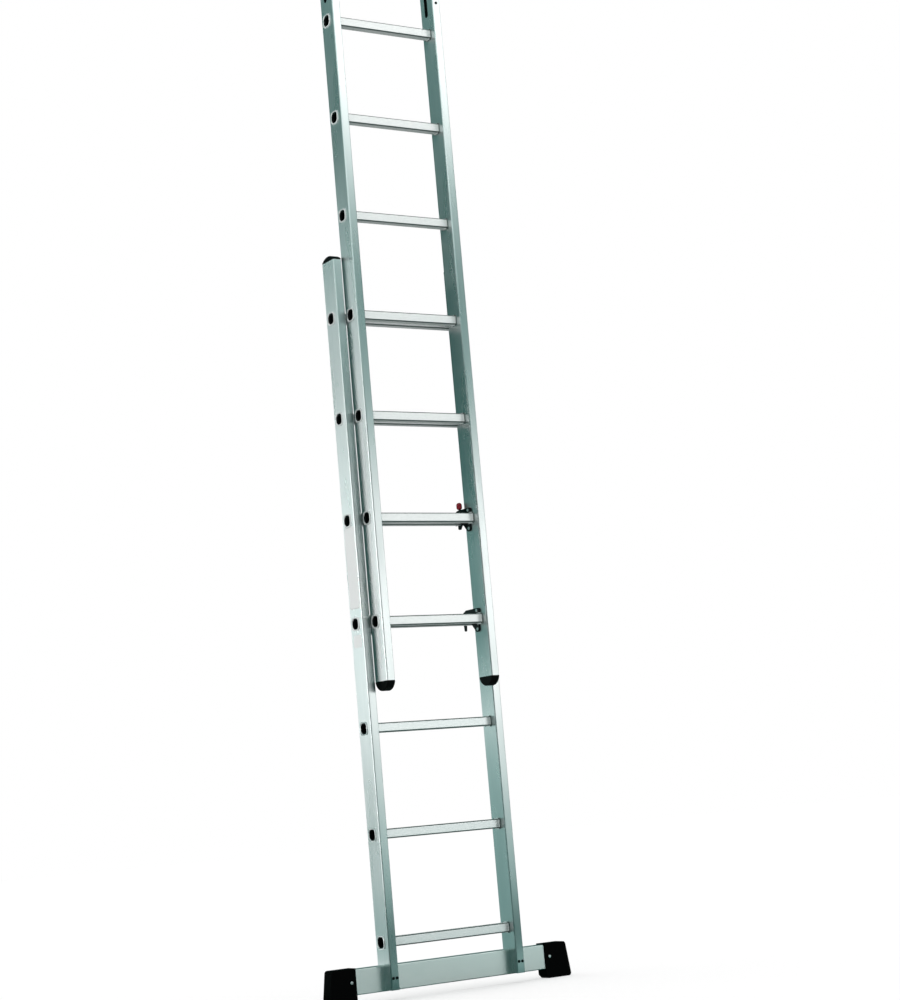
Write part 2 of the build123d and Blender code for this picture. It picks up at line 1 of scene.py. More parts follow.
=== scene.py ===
# %% [markdown]
# # Dressing a two-section extension ladder
#
# The solid model of the ladder already exists: two aluminium sections of seven rungs, a stabiliser
# bar with rubber feet, four rung hooks and two safety latches. This lesson gives each of those
# solids the surface that the real piece has, adds the thin things that are easier to make as
# surfaces than as solids, and sets up a studio. Lengths are in metres. X runs across the ladder, Y
# from the climber to the wall, and Z up the stiles.

import json
import math

import bpy
import numpy as np
from mathutils import Matrix, Vector


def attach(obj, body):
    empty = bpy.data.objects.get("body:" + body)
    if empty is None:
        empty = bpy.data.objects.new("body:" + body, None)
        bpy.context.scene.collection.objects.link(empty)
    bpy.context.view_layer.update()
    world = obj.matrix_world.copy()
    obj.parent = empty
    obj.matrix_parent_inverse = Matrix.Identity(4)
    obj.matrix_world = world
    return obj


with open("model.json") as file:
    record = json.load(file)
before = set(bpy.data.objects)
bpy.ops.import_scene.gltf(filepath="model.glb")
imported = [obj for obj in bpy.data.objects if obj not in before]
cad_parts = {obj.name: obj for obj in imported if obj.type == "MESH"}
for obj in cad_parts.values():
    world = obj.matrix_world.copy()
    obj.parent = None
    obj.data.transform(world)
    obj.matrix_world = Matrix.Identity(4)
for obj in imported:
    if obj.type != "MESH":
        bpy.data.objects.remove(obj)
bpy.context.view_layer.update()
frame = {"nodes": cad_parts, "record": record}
MM = 0.001

# %% [markdown]
# ## The camera
#
# A long lens from the climber's left, low down and looking up a little, shows the outer faces of
# the left stiles, the front of every rung and the underside of the upper ones. The camera is rolled
# a few degrees, so the upright ladder leans across the picture as a propped one does. Three
# directions at right angles, laid side by side, are the columns of the camera's turn. Its numbers
# are the answer of another program, a least-squares fit to about 200 places on known edges.

# %% Place the camera
CAMERA_EYE = Vector((-3.0248, -4.8803, 0.4822))
CAMERA_RIGHT = Vector((0.8455, -0.5272, -0.0858))
CAMERA_AHEAD = Vector((0.5342, 0.8331, 0.1437))
CAMERA_LENS_MM = 76.13

lens = bpy.data.cameras.new("ladder_camera")
lens.lens = CAMERA_LENS_MM
lens.sensor_width = 36.0
lens.clip_start = 0.05
lens.clip_end = 200.0
camera = bpy.data.objects.new("ladder_camera", lens)
bpy.context.scene.collection.objects.link(camera)
camera_back = -CAMERA_AHEAD.normalized()
camera_up = camera_back.cross(CAMERA_RIGHT).normalized()
camera_side = camera_up.cross(camera_back)
camera_turn = Matrix((camera_side, camera_up, camera_back)).transposed()
camera.matrix_world = Matrix.Translation(CAMERA_EYE) @ camera_turn.to_4x4()
bpy.context.scene.camera = camera
bpy.context.scene.view_settings.view_transform = "Standard"
print("camera looks up", round(math.degrees(math.asin(CAMERA_AHEAD.normalized().z)), 2), "degrees")

# %% [markdown]
# ## Helpers for colour and nodes
#
# Paint charts give colours as sRGB hex values and a renderer wants linear light, so one function
# turns the first into the second. Another adds a node to a material with its settings and links,
# which keeps each finish below down to the few lines that say what it looks like.

# %% Hex to linear light


def linear(code):
    """Linear RGBA of an sRGB hex colour: each channel over 255, then the sRGB curve undone."""
    channels = [int(code[place:place + 2], 16) / 255 for place in (1, 3, 5)]
    return tuple(c / 12.92 if c <= 0.04045 else ((c + 0.055) / 1.055) ** 2.4 for c in channels) + (1.0,)


print("mid grey #808080 in linear light:", round(linear("#808080")[0], 3))

# %% One function for every node


def add(tree, kind, sockets=None, **settings):
    """A new node: settings are its own properties, sockets its inputs by name or number.
    A socket given another node's output is linked to it, and anything else becomes its value."""
    node = tree.nodes.new(kind)
    for name, value in settings.items():
        setattr(node, name, value)
    for key, value in (sockets or {}).items():
        if isinstance(value, bpy.types.NodeSocket):
            tree.links.new(value, node.inputs[key])
        else:
            node.inputs[key].default_value = value
    return node


def new_finish(name):
    """An empty node material and its tree."""
    finish = bpy.data.materials.new(name)
    finish.use_nodes = True
    finish.node_tree.nodes.clear()
    return finish, finish.node_tree


def show_surface(tree, sockets):
    """Principled shader with those sockets, sent to the material's output."""
    shader = add(tree, "ShaderNodeBsdfPrincipled", sockets)
    add(tree, "ShaderNodeOutputMaterial", {"Surface": shader.outputs[0]})


print("node helpers ready")

# %% [markdown]
# ## Patterns in millimetres
#
# Every finish on this ladder is some kind of fine unevenness: die lines, grain, speckle. Noise on
# Object coordinates does all of them, because those coordinates are the ladder's own metres. The
# noise is divided by the real size of the feature in millimetres along each axis, so a die line is
# made by a feature that is thin across the profile and very long along it.

# %% Noise of a real size
NOISE_MIDDLE = {"From Min": 0.3, "From Max": 0.7}


def grain(tree, size_mm, detail=2.0):
    """Noise whose features are size_mm = (x, y, z) across on the real ladder. Nearly all of it lies
    in NOISE_MIDDLE, which is what a Map Range node stretches over a range of roughness."""
    place = add(tree, "ShaderNodeTexCoord").outputs["Object"]
    scaled = add(tree, "ShaderNodeMapping", {"Vector": place, "Scale": [1 / (s * MM) for s in size_mm]})
    return add(tree, "ShaderNodeTexNoise", {"Vector": scaled.outputs[0], "Scale": 1.0,
                                            "Detail": detail}).outputs["Fac"]


print("patterns ready")

# %% [markdown]
# ## Stiles: extruded aluminium, mill finish
#
# The stiles are box extrusions sold as they leave the press. The die leaves fine lines along the
# whole length, which spread a reflection sideways and hardly at all up and down, so a stile shows
# soft horizontal bands of the studio. A brushed look could be painted as streaks of colour, but the
# streaks are an effect of the light: an anisotropic metal with the lines in its relief does it
# properly. The tangent runs round Z, across the die lines.

# %% Stile finish


def stile_aluminium():
    """Mill-finish 6000-series aluminium, extruded along Z: a satin metal that blurs sideways.
    The die lines are 0.9 mm apart, too fine for the whole view, so bands of 7 mm show there."""
    finish, tree = new_finish("extruded_aluminium_mill_finish")
    die_lines = grain(tree, (0.9, 0.9, 900))
    die_bands = grain(tree, (7, 7, 1400), detail=1.0)
    cloud = grain(tree, (60, 60, 260))
    skin = add(tree, "ShaderNodeMix", {"Factor": die_bands, 6: linear("#e8edec"),
                                       7: linear("#f1f4f4")}, data_type="RGBA")
    satin = add(tree, "ShaderNodeMapRange", {"Value": cloud, **NOISE_MIDDLE,
                                             "To Min": 0.26, "To Max": 0.30})
    fine = add(tree, "ShaderNodeBump", {"Distance": 0.01 * MM, "Height": die_lines})
    both = add(tree, "ShaderNodeBump", {"Distance": 0.05 * MM, "Height": die_bands,
                                        "Normal": fine.outputs[0]})
    around = add(tree, "ShaderNodeTangent", direction_type="RADIAL", axis="Z")
    show_surface(tree, {"Base Color": skin.outputs[2], "Metallic": 1.0,
                        "Roughness": satin.outputs[0], "Anisotropic": 1.0,
                        "Tangent": around.outputs[0], "Normal": both.outputs[0]})
    return finish


print("stile finish ready")

# %% [markdown]
# ## Rungs: ribbed extrusion with dark bores
#
# The rungs come from another die, along X, and are ribbed so that a boot grips. Handling leaves them
# duller than the stiles and a little speckled. The bore is painted almost black, as painted shade for
# the shadow inside the tube. The bore could be a second material on its own faces, but the solid is one
# mesh, so a mask finds it by distance from the rung's axis instead. The height is wrapped to the
# nearest rung, so that one mask serves them all. The tube is square with rounded corners, so what
# counts is the distance from the centre of the nearest corner. A second mask finds those corners
# and the last few millimetres before the stiles, which are painted a darker grey as painted shade: the
# dark outline of the corners and the shade where a rung meets a stile. How metallic the rungs are
# was adjusted for their tones, and differs with height for that reason alone.

# %% Sizes of the rungs
RUNG_PITCH = 0.280
FIRST_RUNG_Z = 0.150
BASE_RUNG_Y = 0.0279
FLY_RUNG_Y = -0.0231
BASE_OUTER_X = 0.210
FLY_OUTER_X = 0.178
STILE_WIDTH = 0.025
CORNER_CENTRE = 8.9 * MM
BORE_REACH = 3.4 * MM
MOUTH_CENTRE = 4.0 * MM
MOUTH_REACH = 10.9 * MM
MOUTH_DEPTH = 1.2 * MM
CORNER_FROM = 9.6 * MM
CORNER_FADE = 0.5 * MM
END_LENGTH = 3.0 * MM
print("bore half width", round((CORNER_CENTRE + BORE_REACH) / MM, 1), "mm")

# %% Distances from a rung's axis


def rung_distances(tree, axis_y):
    """Three distances: from the ladder's middle in X, and from the nearest rung's axis in Y and in
    Z. The height above the first rung is wrapped to between plus and minus half a pitch."""
    place = add(tree, "ShaderNodeSeparateXYZ", {0: add(tree, "ShaderNodeTexCoord").outputs["Object"]})
    behind = add(tree, "ShaderNodeMath", {0: place.outputs["Y"], 1: axis_y}, operation="SUBTRACT")
    rise = add(tree, "ShaderNodeMath", {0: place.outputs["Z"], 1: FIRST_RUNG_Z}, operation="SUBTRACT")
    above = add(tree, "ShaderNodeMath", {0: rise.outputs[0], 1: RUNG_PITCH / 2, 2: -RUNG_PITCH / 2},
                operation="WRAP")
    return [add(tree, "ShaderNodeMath", {0: offset}, operation="ABSOLUTE").outputs[0]
            for offset in (place.outputs["X"], behind.outputs[0], above.outputs[0])]


print("distances repeat every", RUNG_PITCH, "m")

# %% Where the bore is


def bore_mask(tree, axis_y, outer_x):
    """1 inside the rung tube, 0 outside. The distances from the axis in Y and Z are measured from
    the corner's centre where they pass it, and their length is compared with a reach that lies
    between bore and outer face. Where the end opens into its mouth, MOUTH_DEPTH inside the stile's
    outer face, the corner's centre lies further in and the reach is longer."""
    out, behind, above = rung_distances(tree, axis_y)
    mouth = add(tree, "ShaderNodeMath", {0: out, 1: outer_x - MOUTH_DEPTH}, operation="GREATER_THAN")
    centre, reach = [
        add(tree, "ShaderNodeMath", {0: mouth.outputs[0], 1: in_mouth - in_bore, 2: in_bore},
            operation="MULTIPLY_ADD").outputs[0]
        for in_bore, in_mouth in ((CORNER_CENTRE, MOUTH_CENTRE), (BORE_REACH, MOUTH_REACH))]
    past = []
    for distance in (behind, above):
        beyond = add(tree, "ShaderNodeMath", {0: distance, 1: centre}, operation="SUBTRACT")
        past.append(add(tree, "ShaderNodeMath", {0: beyond.outputs[0], 1: 0.0}, operation="MAXIMUM"))
    flat = add(tree, "ShaderNodeCombineXYZ", {0: past[0].outputs[0], 1: past[1].outputs[0]})
    length = add(tree, "ShaderNodeVectorMath", {0: flat.outputs[0]}, operation="LENGTH")
    return add(tree, "ShaderNodeMath", {0: length.outputs["Value"], 1: reach},
               operation="LESS_THAN").outputs[0]


print("mouth half width", round((MOUTH_CENTRE + MOUTH_REACH) / MM, 1), "mm")

# %% Where the corners and the ends are


def edge_and_end_shade_mask(tree, axis_y, outer_x):
    """1 along the four rounded corners of the tube and over its last END_LENGTH before the stiles,
    where a darker grey is painted as shade. 0 on its flats and outside the stiles' inner faces. A corner
    is where both distances from the axis are above CORNER_FROM."""
    out, behind, above = rung_distances(tree, axis_y)
    inner_x = outer_x - STILE_WIDTH
    least = add(tree, "ShaderNodeMath", {0: behind, 1: above}, operation="MINIMUM")
    corner, end = [
        add(tree, "ShaderNodeMapRange", {"Value": value, "From Min": start,
                                         "From Max": start + CORNER_FADE}).outputs[0]
        for value, start in ((least.outputs[0], CORNER_FROM), (out, inner_x - END_LENGTH))]
    either = add(tree, "ShaderNodeMath", {0: corner, 1: end}, operation="MAXIMUM")
    between_stiles = add(tree, "ShaderNodeMath", {0: out, 1: inner_x}, operation="LESS_THAN")
    return add(tree, "ShaderNodeMath", {0: either.outputs[0], 1: between_stiles.outputs[0]},
               operation="MULTIPLY").outputs[0]


print("dull ends are", END_LENGTH / MM, "mm long")

# %% Rung finish
# Darker grey painted shade on the rungs' corners and on their last millimetres before the stiles.
RUNG_EDGE_SHADE_GREY = "#6e7876"
# Near-black painted shade inside the rung bores.
BORE_SHADE_BLACK = "#0a0f0f"
LOW_RUNG_Z = 0.75
HIGH_RUNG_Z = 0.95


def rung_aluminium(name, axis_y, outer_x, pale, dull, metallic):
    """Mill-finish aluminium extruded along X and worn dull: lines 0.8 mm apart, a speckle 9 mm long and
    2.5 mm wide, and painted shade in the bore, on the corners and at the ends. metallic is a pair, for
    the rungs below LOW_RUNG_Z and above HIGH_RUNG_Z: lower means more light scattered and less mirrored,
    set for the rungs' tones under this light."""
    finish, tree = new_finish(name)
    die_lines = grain(tree, (700, 0.8, 0.8))
    speckle = add(tree, "ShaderNodeMapRange", {"Value": grain(tree, (9.0, 2.5, 2.5), detail=3.0),
                                               **NOISE_MIDDLE, "To Min": 0.0, "To Max": 1.0})
    shades = linear(dull)
    # The speckle is wear; the corner grey and the near-black of the bore are painted shade.
    for share, shade in ((speckle.outputs[0], pale), (edge_and_end_shade_mask(tree, axis_y, outer_x), RUNG_EDGE_SHADE_GREY),
                         (bore_mask(tree, axis_y, outer_x), BORE_SHADE_BLACK)):
        shades = add(tree, "ShaderNodeMix", {"Factor": share, 6: shades, 7: linear(shade)},
                     data_type="RGBA").outputs[2]
    place = add(tree, "ShaderNodeTexCoord").outputs["Object"]
    height = add(tree, "ShaderNodeSeparateXYZ", {0: place}).outputs["Z"]
    # Metallic changes with height to set the rungs' tones under this light.
    bare = add(tree, "ShaderNodeMapRange", {"Value": height, "From Min": LOW_RUNG_Z,
                                            "From Max": HIGH_RUNG_Z, "To Min": metallic[0],
                                            "To Max": metallic[1]})
    lines = add(tree, "ShaderNodeBump", {"Distance": 0.008 * MM, "Height": die_lines})
    around = add(tree, "ShaderNodeTangent", direction_type="RADIAL", axis="X")
    show_surface(tree, {"Base Color": shades, "Metallic": bare.outputs[0], "Roughness": 0.27,
                        "Anisotropic": 0.3, "Specular IOR Level": 0.2,
                        "Tangent": around.outputs[0], "Normal": lines.outputs[0]})
    return finish


print("rung finish ready")

# %% [markdown]
# ## Stabiliser bar, caps, feet, steel and knobs
#
# The bar is a drawn tube, rolled flat and rougher than the stiles. The caps are injection-moulded
# polypropylene and the feet are moulded rubber: both are black through and through, so what tells
# them apart is the gloss and the grain. The hooks and latches are steel with a black powder coat,
# whose skin is slightly orange-peeled. Rivets, pins, nuts and springs are zinc plated and bright. The
# bar's bolts and the liners' screws have the same plating passivated black, so one function makes
# both from two shades. The two knobs are glossy red plastic, the only colour on the ladder.

# %% Bar finish


def bar_aluminium():
    """Drawn aluminium tube along X: roller marks 1.2 mm apart in a matt skin with faint patches."""
    finish, tree = new_finish("drawn_aluminium_tube")
    marks = grain(tree, (500, 1.2, 1.2))
    patches = grain(tree, (70, 30, 30), detail=3.0)
    skin = add(tree, "ShaderNodeMix", {"Factor": patches, 6: linear("#dde6e3"),
                                       7: linear("#eaf0ee")}, data_type="RGBA")
    matt = add(tree, "ShaderNodeMapRange", {"Value": patches, **NOISE_MIDDLE,
                                            "To Min": 0.36, "To Max": 0.42})
    raised = add(tree, "ShaderNodeBump", {"Distance": 0.02 * MM, "Height": marks})
    around = add(tree, "ShaderNodeTangent", direction_type="RADIAL", axis="X")
    show_surface(tree, {"Base Color": skin.outputs[2], "Metallic": 1.0,
                        "Roughness": matt.outputs[0], "Anisotropic": 0.3,
                        "Tangent": around.outputs[0], "Normal": raised.outputs[0]})
    return finish


print("bar finish ready")

# %% Moulded and coated finishes


def moulded(name, codes, roughness, grain_mm, depth_mm, level):
    """Moulded or coated surface: two near shades, a grain of grain_mm raised by depth_mm, a spread
    of roughness and a specular level, which is low where the real thing swallows light."""
    finish, tree = new_finish(name)
    bumps = grain(tree, (grain_mm, grain_mm, grain_mm), detail=3.0)
    patches = grain(tree, (25, 25, 25))
    skin = add(tree, "ShaderNodeMix", {"Factor": patches, 6: linear(codes[0]),
                                       7: linear(codes[1])}, data_type="RGBA")
    gloss = add(tree, "ShaderNodeMapRange", {"Value": patches, **NOISE_MIDDLE,
                                             "To Min": roughness[0], "To Max": roughness[1]})
    raised = add(tree, "ShaderNodeBump", {"Distance": depth_mm * MM, "Height": bumps})
    show_surface(tree, {"Base Color": skin.outputs[2], "Roughness": gloss.outputs[0],
                        "Specular IOR Level": level, "Normal": raised.outputs[0]})
    return finish


print("moulded finish ready")

# %% Zinc finish


def zinc_steel(name, dark, light):
    """Zinc-plated steel, bright or passivated black: metal with a spangle of about 1.5 mm between
    two shades."""
    finish, tree = new_finish(name)
    spangle = grain(tree, (1.5, 1.5, 1.5))
    skin = add(tree, "ShaderNodeMix", {"Factor": spangle, 6: linear(dark),
                                       7: linear(light)}, data_type="RGBA")
    satin = add(tree, "ShaderNodeMapRange", {"Value": spangle, **NOISE_MIDDLE,
                                             "To Min": 0.28, "To Max": 0.40})
    raised = add(tree, "ShaderNodeBump", {"Distance": 0.01 * MM, "Height": spangle})
    show_surface(tree, {"Base Color": skin.outputs[2], "Metallic": 1.0,
                        "Roughness": satin.outputs[0], "Normal": raised.outputs[0]})
    return finish


print("zinc finish ready")

# %% [markdown]
# ## Lay the finishes on the solids
#
# The record names a material slot for each solid, so a dictionary from slot to finish dresses them
# all in one loop. The rungs of the two sections have their axes at different depths, so each
# section has its own rung finish with its own bore mask.

# %% Dress the solids
finishes = {
    "stile_aluminium": stile_aluminium(),
    "bar_aluminium": bar_aluminium(),
    "black_plastic": moulded("moulded_black_polypropylene", ("#070909", "#0b0d0d"),
                             (0.42, 0.52), 0.7, 0.02, 0.06),
    "foot_rubber": moulded("moulded_black_rubber", ("#020202", "#050505"),
                           (0.68, 0.80), 1.1, 0.05, 0.04),
    "black_steel": moulded("black_powder_coated_steel", ("#0b0e0e", "#101414"),
                           (0.32, 0.42), 1.4, 0.03, 0.25),
    "zinc_steel": zinc_steel("zinc_plated_steel", "#d4d8d7", "#f2f4f3"),
    "red_plastic": moulded("moulded_red_plastic", ("#7c0e1e", "#8c1224"),
                           (0.22, 0.30), 0.8, 0.01, 0.5),
}
rung_finishes = {
    "base": rung_aluminium("ribbed_aluminium_base_rung", BASE_RUNG_Y, BASE_OUTER_X,
                           "#f7f9f9", "#e9edec", (0.62, 0.15)),
    "fly": rung_aluminium("ribbed_aluminium_fly_rung", FLY_RUNG_Y, FLY_OUTER_X,
                          "#fbfdfc", "#f3f6f5", (0.34, 0.40)),
}
black_zinc = zinc_steel("black_passivated_zinc_steel", "#161b1b", "#2a3130")
BLACK_FASTENERS = ("bar_bolts", "liner_screws")
slots = {row["node"]: row["material_slot"] for row in frame["record"]["subparts"]}
for node, piece in frame["nodes"].items():
    section = node.split("_")[0]
    finish = rung_finishes[section] if slots[node] == "rung_aluminium" else finishes[slots[node]]
    for place in piece.material_slots:
        place.material = black_zinc if node in BLACK_FASTENERS else finish
print("finishes laid on", len(slots), "solids")

# %% [markdown]
# ## Surfaces from numpy
#
# The new pieces are grids of points worked out with whole arrays. One helper turns such a grid into
# a mesh: each point is joined to its right and upper neighbours, and a grid that closes on itself,
# like a ring, joins its last row or column back to the first.

# %% Grid to mesh


def add_grid(name, points, wrap_rows=False, wrap_columns=False, close_ends=False, smooth=True):
    """Object from a (rows, columns, 3) array of points, or from a list of such arrays. close_ends
    covers the first and last rows of a tube with one face each."""
    grids = points if isinstance(points, list) else [points]
    faces, start = [], 0
    for grid in grids:
        rows, columns = grid.shape[:2]
        r, c = np.meshgrid(np.arange(rows if wrap_rows else rows - 1),
                           np.arange(columns if wrap_columns else columns - 1), indexing="ij")
        up, along = (r + 1) % rows, (c + 1) % columns
        quads = np.stack([r * columns + c, r * columns + along, up * columns + along, up * columns + c], -1)
        faces += (quads.reshape(-1, 4) + start).tolist()
        if close_ends:
            faces += [list(range(start + columns - 1, start - 1, -1)),
                      list(range(start + (rows - 1) * columns, start + rows * columns))]
        start += rows * columns
    mesh = bpy.data.meshes.new(name)
    mesh.from_pydata(np.concatenate([grid.reshape(-1, 3) for grid in grids]).tolist(), [], faces)
    mesh.polygons.foreach_set("use_smooth", np.full(len(mesh.polygons), smooth))
    mesh.update()
    thing = bpy.data.objects.new(name, mesh)
    bpy.context.scene.collection.objects.link(thing)
    return thing


print("grid helper ready")

# %% [markdown]
# ## Rolled lips round the rung ends
#
# A rung is fastened by swaging: a tool spreads the tube's end over the stile's outer face and rolls
# its rim back. The solid has a flat flange there. The rolled rim is a bead along a rounded square,
# and it is what catches the light round each dark opening. A bevel on the solid would need its edges
# picked out of loose triangles, so the bead is made as its own ring: a circle carried along the
# rounded square. The same ring serves every rung, moved to its place.

# %% The rings
LIP_HALF = 16.6 * MM
LIP_CORNER = 12.0 * MM
LIP_BEAD = 1.8 * MM
LIP_PROUD = 1.3 * MM
PATH_STEPS = 40
BEAD_STEPS = 14
RUNG_COUNT = 7
FLY_FIRST_RUNG_Z = FIRST_RUNG_Z + 3 * RUNG_PITCH


def lip_ring(x, y, z, outward):
    """Bead round a rung end. Along the path the angle t goes round the rounded square, whose point
    is the corner's centre in t's quadrant plus the corner radius towards t. Round the bead the angle
    s adds LIP_BEAD cos s to that radius and LIP_BEAD sin s to x. Both sides of the ladder go round in
    the same order, so that the faces of every bead point out of it."""
    t = (np.arange(PATH_STEPS) + 0.5) * 2 * np.pi / PATH_STEPS
    s = np.arange(BEAD_STEPS) * 2 * np.pi / BEAD_STEPS
    s, t = np.meshgrid(s, t, indexing="ij")
    radius = LIP_CORNER + LIP_BEAD * np.cos(s)
    inset = LIP_HALF - LIP_CORNER
    return np.stack([x + outward * LIP_PROUD + LIP_BEAD * np.sin(s),
                     y + inset * np.sign(np.cos(t)) + radius * np.cos(t),
                     z + inset * np.sign(np.sin(t)) + radius * np.sin(t)], -1)


def lip_rings(section, outer_x, axis_y, first_z):
    """The fourteen rings of a section, seven on each side."""
    rings = [lip_ring(side * outer_x, axis_y, first_z + number * RUNG_PITCH, side)
             for side in (-1, 1) for number in range(RUNG_COUNT)]
    piece = add_grid(section + "_rung_lips", rings, wrap_rows=True, wrap_columns=True)
    piece.data.materials.append(rung_finishes[section])
    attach(piece, section + "_section")
    return piece


for lips in (lip_rings("base", BASE_OUTER_X, BASE_RUNG_Y, FIRST_RUNG_Z),
             lip_rings("fly", FLY_OUTER_X, FLY_RUNG_Y, FLY_FIRST_RUNG_Z)):
    print(lips.name, len(lips.data.polygons), "faces")

# %% [markdown]
# ## Blank film on the base's left stile
#
# A pale vinyl film runs along the outer face of the left base stile between its fourth and fifth
# rungs, with a shorter one below. Safety notes are printed there on the real ladder. Here both
# films are left bare. A film is 0.15 mm thick with rounded corners, and is pressed down on the metal
# along its edge. A cut rectangle would show hard corners, so each row of points is as wide as the
# rounded outline allows at its height.

# %% Film finish


def vinyl_film():
    """Cast vinyl film: white and satin, a little greyer in patches of 40 mm, with a faint peel."""
    finish, tree = new_finish("white_vinyl_film")
    patches = grain(tree, (40, 40, 40), detail=3.0)
    peel = grain(tree, (2.5, 2.5, 2.5))
    skin = add(tree, "ShaderNodeMix", {"Factor": patches, 6: linear("#f7fbfa"),
                                       7: linear("#fcfefd")}, data_type="RGBA")
    raised = add(tree, "ShaderNodeBump", {"Distance": 0.008 * MM, "Height": peel})
    show_surface(tree, {"Base Color": skin.outputs[2], "Roughness": 0.38,
                        "Normal": raised.outputs[0]})
    return finish


film_finish = vinyl_film()
print("film finish ready")

# %% The films
FILM_THICKNESS = 0.15 * MM
FILM_SINK = 0.05 * MM
FILM_CORNER = 5.0 * MM
FILM_MIDDLE_Y = 0.0249
LONG_FILM = {"z_low": 1.030, "z_high": 1.252, "width": 54.0 * MM}
SHORT_FILM = {"z_low": 0.926, "z_high": 0.960, "width": 43.2 * MM}
ROWS = 60
STEPS_ROUND = 48


def film(name, z_low, z_high, width):
    """Thin rounded rectangle on the left stile's outer face. The height u runs from z_low to z_high.
    The half width at u is the full one, less corner - sqrt(corner^2 - d^2) where d is how far u is
    inside a rounded corner. Across the film the angle t goes once round: its cosine, raised to the
    power 0.6, is the place across, and the sign of its sine says which side of the film it is on.
    The outer side stands off by FILM_THICKNESS times 1 - v^12 or 1 - w^40, whichever is less, where
    v and w run from -1 to 1 across and along, so it falls to nothing at its border."""
    u = np.linspace(z_low, z_high, ROWS)
    t = np.linspace(0, 2 * np.pi, STEPS_ROUND, endpoint=False) + np.pi / STEPS_ROUND
    v = np.sign(np.cos(t)) * np.abs(np.cos(t)) ** 0.6
    w = np.linspace(-1, 1, ROWS)
    inside = np.minimum(u - z_low, z_high - u)
    d = np.clip(FILM_CORNER - inside, 0, FILM_CORNER)
    half = width / 2 - (FILM_CORNER - np.sqrt(FILM_CORNER ** 2 - d ** 2))
    y = FILM_MIDDLE_Y + half[:, None] * v[None, :]
    z = np.broadcast_to(u[:, None], y.shape)
    rim = np.minimum(1 - np.abs(v)[None, :] ** 12, 1 - np.abs(w)[:, None] ** 40)
    outer_side = np.sin(t)[None, :] > 0
    x = -BASE_OUTER_X + np.where(outer_side, -FILM_THICKNESS * rim, FILM_SINK)
    piece = add_grid(name, np.stack([x, y, z], -1), wrap_columns=True, close_ends=True)
    piece.data.materials.append(film_finish)
    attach(piece, "base_section")
    return piece


for name, size in (("blank_film_long", LONG_FILM), ("blank_film_short", SHORT_FILM)):
    bare_film = film(name, **size)
    print(bare_film.name, "from", size["z_low"], "to", size["z_high"], "m up")

# %% [markdown]
# ## The studio
#
# Bare metal shows whatever stands round it, so most of its look is the studio. A shell of light
# round the ladder is drawn as one surface, and a tone for each direction says what stands there: a
# tall soft box in front, a brighter one on the left, a paler patch low down behind, and a dark room
# and ceiling elsewhere. Lamps could do the same, but each would need its own place and size, while
# a tone on a shell is one formula. Darker tones are cooler, as unlit walls are.
#
# The tones, the borders of their sectors and the powers that cool them weren't chosen as a studio
# would be. They began as the answer of another program, which fitted them by least squares to the
# wanted brightness of the faces that the camera sees. The answer was rounded and partly changed,
# render by render. So they suit that side, and say nothing about a real room.
#
# Only the light of the shell is seen, never the shell, because the camera and glass look through it.
# Matt surfaces would take on the unevenness of such a room, so they see an even grey instead. The
# shell's lower part lies just above the floor, for metal alone, so the ladder mirrors its tones and
# not the white floor. This has a price: the tone of the aluminium is in the light and not in its
# finish. Without the shell it mirrors a white room and turns almost white.

# %% Tone of each direction
TONE_HEIGHTS = [-90, -40, -20, -12, -8, -3, 0, 3, 6, 9, 11, 13, 15, 17, 20, 30, 50, 90]
TONES = {
    "left": [0.05, 0.1, 0.1, 0.1, 0.1, 0.1, 2.6, 4.0, 4.0,
             4.0, 2.8, 1.8, 1.2, 0.1, 0.05, 0.5, 0.6, 0.05],
    "camera": [0.05, 0.1, 0.1, 0.06, 0.05, 0.05, 0.15, 0.05, 0.03,
               0.03, 0.05, 0.3, 0.5, 1.2, 1.0, 0.5, 0.1, 0.05],
    "front": [0.02, 0.05, 0.2, 0.5, 0.5, 0.06, 0.85, 2.0, 2.0,
              1.6, 0.45, 0.35, 0.05, 0.35, 2.1, 2.2, 0.1, 0.05],
    "right": [0.02, 0.05, 0.08, 0.08, 0.1, 0.05, 0.05, 0.12, 0.12,
              0.12, 0.08, 0.08, 0.1, 0.1, 0.2, 0.3, 0.1, 0.05],
    "far": [0.02, 0.05, 0.35, 0.4, 0.2, 0.05, 0.05, 0.12, 0.12,
            0.12, 0.08, 0.08, 0.1, 0.1, 0.2, 0.3, 0.1, 0.05],
    "back": [0.05, 0.4, 1.3, 1.4, 1.4, 0.5, 0.2, 0.3, 0.5,
             0.3, 0.2, 0.2, 0.4, 0.15, 0.15, 0.4, 0.2, 0.05],
}
AZIMUTH_STOPS = [(-180, "left"), (-174, "camera"), (-80, "camera"), (-68, "front"), (-42, "front"),
                 (-14, "right"), (30, "right"), (42, "far"), (100, "far"), (114, "back"),
                 (144, "back"), (148, "left"), (180, "left")]


def dome_tone(azimuth, elevation):
    """Brightness of a direction, in degrees, azimuth from +X towards +Y. Each sector has its own run
    of tone over elevation, and between two stops of azimuth their tones are mixed in proportion."""
    runs = np.stack([np.interp(elevation, TONE_HEIGHTS, TONES[sector]) for _, sector in AZIMUTH_STOPS], -1)
    stops = np.array([stop for stop, _ in AZIMUTH_STOPS], float)
    hats = [np.interp(azimuth, stops, np.eye(len(stops))[k]) for k in range(len(stops))]
    return (runs * np.stack(hats, -1)).sum(-1)


def dome_colour(tone):
    """RGBA of a tone. Dim light is cooler: below 1.5 its red falls off faster than the tone, and below
    2 its blue falls a little."""
    red = tone * np.clip(tone / 1.5, 0.06, 1) ** 0.4
    blue = tone * np.clip(tone / 2.0, 0.02, 1) ** 0.03
    return np.stack([red, tone, blue, np.ones_like(tone)], -1)


for name, azimuth in (("front soft box", -57), ("left soft box", 165), ("dark room", -122)):
    print(name, "at 5 degrees up:", round(float(dome_tone(np.array(azimuth), np.array(5.0))), 2))

# %% Light without a visible source
MATT_LIGHT = 1.05


